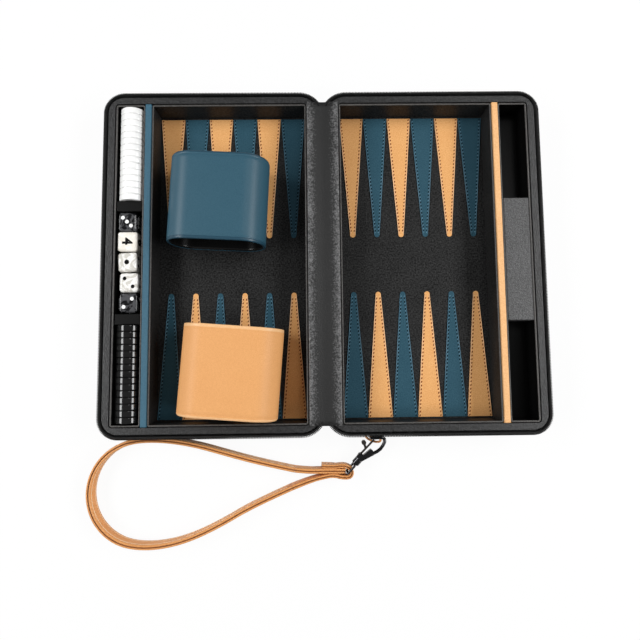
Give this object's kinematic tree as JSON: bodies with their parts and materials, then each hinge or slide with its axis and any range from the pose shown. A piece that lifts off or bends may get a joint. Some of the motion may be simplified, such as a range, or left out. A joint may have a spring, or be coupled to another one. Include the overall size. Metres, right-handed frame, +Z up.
{
  "type": "backgammon set",
  "caption": "Folding zipped leather backgammon case lying open, with checkers, dice, doubling cube, two dice cups and a wrist strap with a trigger clasp.",
  "frame": {"origin": "on the table under the middle of the fold line of the open case", "axes": "+X across the fold towards the empty half, +Y along the fold away from the strap, +Z up from the table"},
  "size_m": [0.3833, 0.3812, 0.0468],
  "materials": {
    "black_leather": "grained leather, low sheen",
    "navy_leather": "smooth leather, satin",
    "tan_leather": "smooth leather, satin",
    "zip_black": "woven tape with moulded teeth",
    "gunmetal": "dark polished plating",
    "white_checker": "polished",
    "black_checker": "polished",
    "black_marble_die": "polished, marbled, white pips",
    "pearl_die": "polished, pearl, black pips",
    "ivory_cube": "polished, black numbers"
  },
  "bodies": {
    "right_half": {"right_shell": "black_leather", "right_zip": "zip_black", "right_field_tray": "black_leather", "right_storage_tray": "black_leather", "bridge_block": "black_leather", "right_rail": "tan_leather", "right_points_tan": "tan_leather", "right_points_navy": "navy_leather", "spine_strip": "black_leather"},
    "left_half": {"left_shell": "black_leather", "left_zip": "zip_black", "left_field_tray": "black_leather", "left_storage_tray": "black_leather", "left_rail": "navy_leather", "left_points_tan": "tan_leather", "left_points_navy": "navy_leather"},
    "slider": {"zip_slider": "gunmetal"},
    "pull": {"zip_pull": "tan_leather"},
    "eye": {"clasp_eye": "gunmetal"},
    "hook": {"clasp_hook": "gunmetal"},
    "trigger": {"clasp_trigger": "gunmetal"},
    "strap": {"wrist_strap": "tan_leather", "strap_end": "tan_leather"},
    "navy_cup_body": {"navy_cup": "navy_leather"},
    "tan_cup_body": {"tan_cup": "tan_leather"},
    "black_die_1_body": {"black_die_1": "black_marble_die"},
    "black_die_2_body": {"black_die_2": "black_marble_die"},
    "pearl_die_1_body": {"pearl_die_1": "pearl_die"},
    "pearl_die_2_body": {"pearl_die_2": "pearl_die"},
    "doubling_cube_body": {"doubling_cube": "ivory_cube"},
    "white_checker_01_body": {"white_checker_01": "white_checker"},
    "white_checker_02_body": {"white_checker_02": "white_checker"},
    "white_checker_03_body": {"white_checker_03": "white_checker"},
    "white_checker_04_body": {"white_checker_04": "white_checker"},
    "white_checker_05_body": {"white_checker_05": "white_checker"},
    "white_checker_06_body": {"white_checker_06": "white_checker"},
    "white_checker_07_body": {"white_checker_07": "white_checker"},
    "white_checker_08_body": {"white_checker_08": "white_checker"},
    "white_checker_09_body": {"white_checker_09": "white_checker"},
    "white_checker_10_body": {"white_checker_10": "white_checker"},
    "white_checker_11_body": {"white_checker_11": "white_checker"},
    "white_checker_12_body": {"white_checker_12": "white_checker"},
    "white_checker_13_body": {"white_checker_13": "white_checker"},
    "white_checker_14_body": {"white_checker_14": "white_checker"},
    "white_checker_15_body": {"white_checker_15": "white_checker"},
    "black_checker_01_body": {"black_checker_01": "black_checker"},
    "black_checker_02_body": {"black_checker_02": "black_checker"},
    "black_checker_03_body": {"black_checker_03": "black_checker"},
    "black_checker_04_body": {"black_checker_04": "black_checker"},
    "black_checker_05_body": {"black_checker_05": "black_checker"},
    "black_checker_06_body": {"black_checker_06": "black_checker"},
    "black_checker_07_body": {"black_checker_07": "black_checker"},
    "black_checker_08_body": {"black_checker_08": "black_checker"},
    "black_checker_09_body": {"black_checker_09": "black_checker"},
    "black_checker_10_body": {"black_checker_10": "black_checker"},
    "black_checker_11_body": {"black_checker_11": "black_checker"},
    "black_checker_12_body": {"black_checker_12": "black_checker"},
    "black_checker_13_body": {"black_checker_13": "black_checker"},
    "black_checker_14_body": {"black_checker_14": "black_checker"},
    "black_checker_15_body": {"black_checker_15": "black_checker"}
  },
  "joints": [
    {"name": "case_hinge", "type": "hinge", "parent": "right_half", "child": "left_half", "pos_m": [0, 0, 0.0274], "axis": [0, -1, 0], "range_deg": [-180, 0], "deforming": ["spine_strip"]},
    {"name": "case_zip_slide", "type": "slide", "parent": "right_half", "child": "slider", "axis": [1, 0, 0], "range_m": [0, 0.11]},
    {"name": "case_zip_pull", "type": "hinge", "parent": "slider", "child": "pull", "pos_m": [0.0407, -0.1439, 0.0136], "axis": [0, 0, 1], "range_deg": [0, 35]},
    {"name": "clasp_turn", "type": "hinge", "parent": "pull", "child": "eye", "pos_m": [0.0452, -0.14958, 0.0075], "axis": [0, 0, 1], "range_deg": [0, 12]},
    {"name": "clasp_swivel", "type": "hinge", "parent": "eye", "child": "hook", "pos_m": [0.0255, -0.16604, 0.0075], "axis": [0.6871, 0.7266, 0], "range_deg": [-10, 10]},
    {"name": "clasp_trigger", "type": "hinge", "parent": "hook", "child": "trigger", "pos_m": [0.02763, -0.16103, 0.0075], "axis": [0, 0, -1], "range_deg": [0, 12], "stiffness_Nm_per_rad": 0.02, "springref_deg": -8.59},
    {"name": "clasp_strap", "type": "hinge", "parent": "eye", "child": "strap", "pos_m": [0.0176, -0.1744, 0.006], "axis": [0, 0, 1], "range_deg": [0, 20]},
    {"name": "lift_navy_cup", "type": "slide", "parent": "left_half", "child": "navy_cup_body", "axis": [0, 0, 1], "range_m": [0, 0.06]},
    {"name": "lift_tan_cup", "type": "slide", "parent": "left_half", "child": "tan_cup_body", "axis": [0, 0, 1], "range_m": [0, 0.06]},
    {"name": "lift_black_die_1", "type": "slide", "parent": "left_half", "child": "black_die_1_body", "axis": [0, 0, 1], "range_m": [0, 0.04]},
    {"name": "lift_black_die_2", "type": "slide", "parent": "left_half", "child": "black_die_2_body", "axis": [0, 0, 1], "range_m": [0, 0.04]},
    {"name": "lift_pearl_die_1", "type": "slide", "parent": "left_half", "child": "pearl_die_1_body", "axis": [0, 0, 1], "range_m": [0, 0.04]},
    {"name": "lift_pearl_die_2", "type": "slide", "parent": "left_half", "child": "pearl_die_2_body", "axis": [0, 0, 1], "range_m": [0, 0.04]},
    {"name": "lift_doubling_cube", "type": "slide", "parent": "left_half", "child": "doubling_cube_body", "axis": [0, 0, 1], "range_m": [0, 0.04]},
    {"name": "lift_white_checker_01", "type": "slide", "parent": "left_half", "child": "white_checker_01_body", "axis": [0, 0, 1], "range_m": [0, 0.04]},
    {"name": "lift_white_checker_02", "type": "slide", "parent": "left_half", "child": "white_checker_02_body", "axis": [0, 0, 1], "range_m": [0, 0.04]},
    {"name": "lift_white_checker_03", "type": "slide", "parent": "left_half", "child": "white_checker_03_body", "axis": [0, 0, 1], "range_m": [0, 0.04]},
    {"name": "lift_white_checker_04", "type": "slide", "parent": "left_half", "child": "white_checker_04_body", "axis": [0, 0, 1], "range_m": [0, 0.04]},
    {"name": "lift_white_checker_05", "type": "slide", "parent": "left_half", "child": "white_checker_05_body", "axis": [0, 0, 1], "range_m": [0, 0.04]},
    {"name": "lift_white_checker_06", "type": "slide", "parent": "left_half", "child": "white_checker_06_body", "axis": [0, 0, 1], "range_m": [0, 0.04]},
    {"name": "lift_white_checker_07", "type": "slide", "parent": "left_half", "child": "white_checker_07_body", "axis": [0, 0, 1], "range_m": [0, 0.04]},
    {"name": "lift_white_checker_08", "type": "slide", "parent": "left_half", "child": "white_checker_08_body", "axis": [0, 0, 1], "range_m": [0, 0.04]},
    {"name": "lift_white_checker_09", "type": "slide", "parent": "left_half", "child": "white_checker_09_body", "axis": [0, 0, 1], "range_m": [0, 0.04]},
    {"name": "lift_white_checker_10", "type": "slide", "parent": "left_half", "child": "white_checker_10_body", "axis": [0, 0, 1], "range_m": [0, 0.04]},
    {"name": "lift_white_checker_11", "type": "slide", "parent": "left_half", "child": "white_checker_11_body", "axis": [0, 0, 1], "range_m": [0, 0.04]},
    {"name": "lift_white_checker_12", "type": "slide", "parent": "left_half", "child": "white_checker_12_body", "axis": [0, 0, 1], "range_m": [0, 0.04]},
    {"name": "lift_white_checker_13", "type": "slide", "parent": "left_half", "child": "white_checker_13_body", "axis": [0, 0, 1], "range_m": [0, 0.04]},
    {"name": "lift_white_checker_14", "type": "slide", "parent": "left_half", "child": "white_checker_14_body", "axis": [0, 0, 1], "range_m": [0, 0.04]},
    {"name": "lift_white_checker_15", "type": "slide", "parent": "left_half", "child": "white_checker_15_body", "axis": [0, 0, 1], "range_m": [0, 0.04]},
    {"name": "lift_black_checker_01", "type": "slide", "parent": "left_half", "child": "black_checker_01_body", "axis": [0, 0, 1], "range_m": [0, 0.04]},
    {"name": "lift_black_checker_02", "type": "slide", "parent": "left_half", "child": "black_checker_02_body", "axis": [0, 0, 1], "range_m": [0, 0.04]},
    {"name": "lift_black_checker_03", "type": "slide", "parent": "left_half", "child": "black_checker_03_body", "axis": [0, 0, 1], "range_m": [0, 0.04]},
    {"name": "lift_black_checker_04", "type": "slide", "parent": "left_half", "child": "black_checker_04_body", "axis": [0, 0, 1], "range_m": [0, 0.04]},
    {"name": "lift_black_checker_05", "type": "slide", "parent": "left_half", "child": "black_checker_05_body", "axis": [0, 0, 1], "range_m": [0, 0.04]},
    {"name": "lift_black_checker_06", "type": "slide", "parent": "left_half", "child": "black_checker_06_body", "axis": [0, 0, 1], "range_m": [0, 0.04]},
    {"name": "lift_black_checker_07", "type": "slide", "parent": "left_half", "child": "black_checker_07_body", "axis": [0, 0, 1], "range_m": [0, 0.04]},
    {"name": "lift_black_checker_08", "type": "slide", "parent": "left_half", "child": "black_checker_08_body", "axis": [0, 0, 1], "range_m": [0, 0.04]},
    {"name": "lift_black_checker_09", "type": "slide", "parent": "left_half", "child": "black_checker_09_body", "axis": [0, 0, 1], "range_m": [0, 0.04]},
    {"name": "lift_black_checker_10", "type": "slide", "parent": "left_half", "child": "black_checker_10_body", "axis": [0, 0, 1], "range_m": [0, 0.04]},
    {"name": "lift_black_checker_11", "type": "slide", "parent": "left_half", "child": "black_checker_11_body", "axis": [0, 0, 1], "range_m": [0, 0.04]},
    {"name": "lift_black_checker_12", "type": "slide", "parent": "left_half", "child": "black_checker_12_body", "axis": [0, 0, 1], "range_m": [0, 0.04]},
    {"name": "lift_black_checker_13", "type": "slide", "parent": "left_half", "child": "black_checker_13_body", "axis": [0, 0, 1], "range_m": [0, 0.04]},
    {"name": "lift_black_checker_14", "type": "slide", "parent": "left_half", "child": "black_checker_14_body", "axis": [0, 0, 1], "range_m": [0, 0.04]},
    {"name": "lift_black_checker_15", "type": "slide", "parent": "left_half", "child": "black_checker_15_body", "axis": [0, 0, 1], "range_m": [0, 0.04]}
  ]
}
